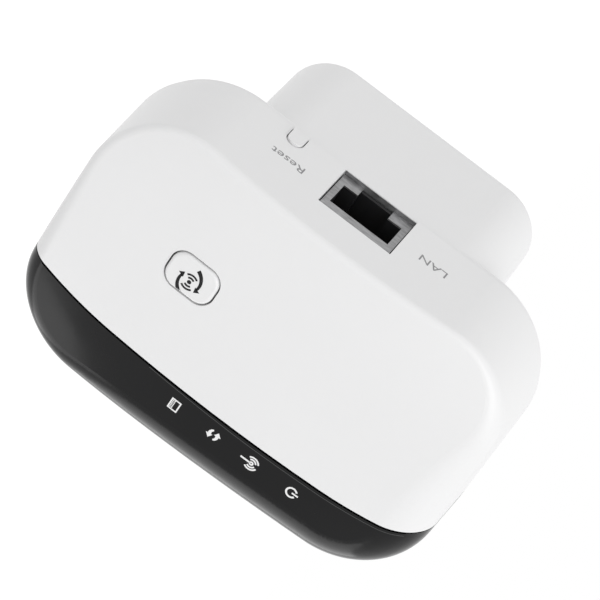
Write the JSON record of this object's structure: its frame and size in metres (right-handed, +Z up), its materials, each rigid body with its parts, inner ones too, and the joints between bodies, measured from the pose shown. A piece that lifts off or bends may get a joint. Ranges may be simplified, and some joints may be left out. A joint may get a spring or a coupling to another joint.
{
  "type": "wifi range extender",
  "caption": "Plug-in wifi range extender: pillow-fronted white case with a dark indicator strip, a square plug block, a network socket and push buttons.",
  "frame": {"origin": "centre of the face that lies against the wall plate", "axes": "+Y out of the rear face along the plug pins, +Z up along the case, +X towards the dark indicator strip"},
  "size_m": [0.0562, 0.067, 0.0828],
  "materials": {
    "white_case": "satin moulded",
    "smoked_panel": "high gloss",
    "insert_black": "fine moulded",
    "plug_pin": "plated, polished",
    "pin_sleeve": "smooth",
    "screw_steel": "zinc plated",
    "switch_body": "moulded",
    "board": "solder mask over laminate",
    "shield_steel": "plated, folded",
    "socket_black": "moulded",
    "contact_gold": "gold flash",
    "chip_black": "moulded epoxy",
    "sink_metal": "extruded",
    "can_metal": "tinned",
    "capacitor_can": "can in a sleeve",
    "capacitor_sleeve": "shrunk sleeve",
    "ferrite": "sintered",
    "winding_tape": "polyester tape",
    "lamp_white": "moulded",
    "clear_pipe": "clear moulded",
    "aerial_metal": "tinned strip",
    "disc_blue": "dipped",
    "fuse_green": "lacquered",
    "coil_dark": "sintered",
    "sheet_film": "insulating film"
  },
  "bodies": {
    "case": {"indicator_panel": "smoked_panel", "front_shell": "white_case", "rear_shell": "white_case", "case_screws": "screw_steel", "pin_left": "plug_pin", "pin_right": "plug_pin", "pin_sleeves": "pin_sleeve", "plug_insert": "insert_black", "press_switch": "switch_body", "reset_switch": "switch_body", "main_board": "board", "board_screws": "screw_steel", "jack_shield": "shield_steel", "jack_housing": "socket_black", "jack_contacts": "contact_gold", "network_transformer": "chip_black", "wifi_processor": "chip_black", "heat_sink": "sink_metal", "radio_chip": "chip_black", "radio_can": "can_metal", "flash_memory": "chip_black", "clock_crystal": "can_metal", "main_capacitors": "capacitor_can", "converter_coil": "coil_dark", "status_lamps": "lamp_white", "light_pipe": "clear_pipe", "aerial_upper": "aerial_metal", "aerial_lower": "aerial_metal", "power_board": "board", "pin_clips": "contact_gold", "power_board_screws": "screw_steel", "transformer_core": "ferrite", "transformer_winding": "winding_tape", "bulk_capacitors": "capacitor_sleeve", "output_capacitor": "capacitor_sleeve", "bridge_rectifier": "chip_black", "supply_controller": "chip_black", "safety_capacitor": "disc_blue", "fuse_resistor": "fuse_green", "choke_inductor": "coil_dark", "link_header": "socket_black", "link_pins": "contact_gold", "insulation_sheet": "sheet_film"},
    "press_key": {"press_button": "white_case", "press_switch_plunger": "switch_body"},
    "reset_key": {"reset_button": "white_case", "reset_switch_plunger": "switch_body"}
  },
  "joints": [
    {"name": "press_key_slide", "type": "slide", "parent": "case", "child": "press_key", "axis": [0, 1, 0], "range_m": [0, 0.0004], "stiffness_N_per_m": 4000},
    {"name": "reset_key_slide", "type": "slide", "parent": "case", "child": "reset_key", "axis": [1, 0, 0], "range_m": [0, 0.0004], "stiffness_N_per_m": 4000}
  ]
}
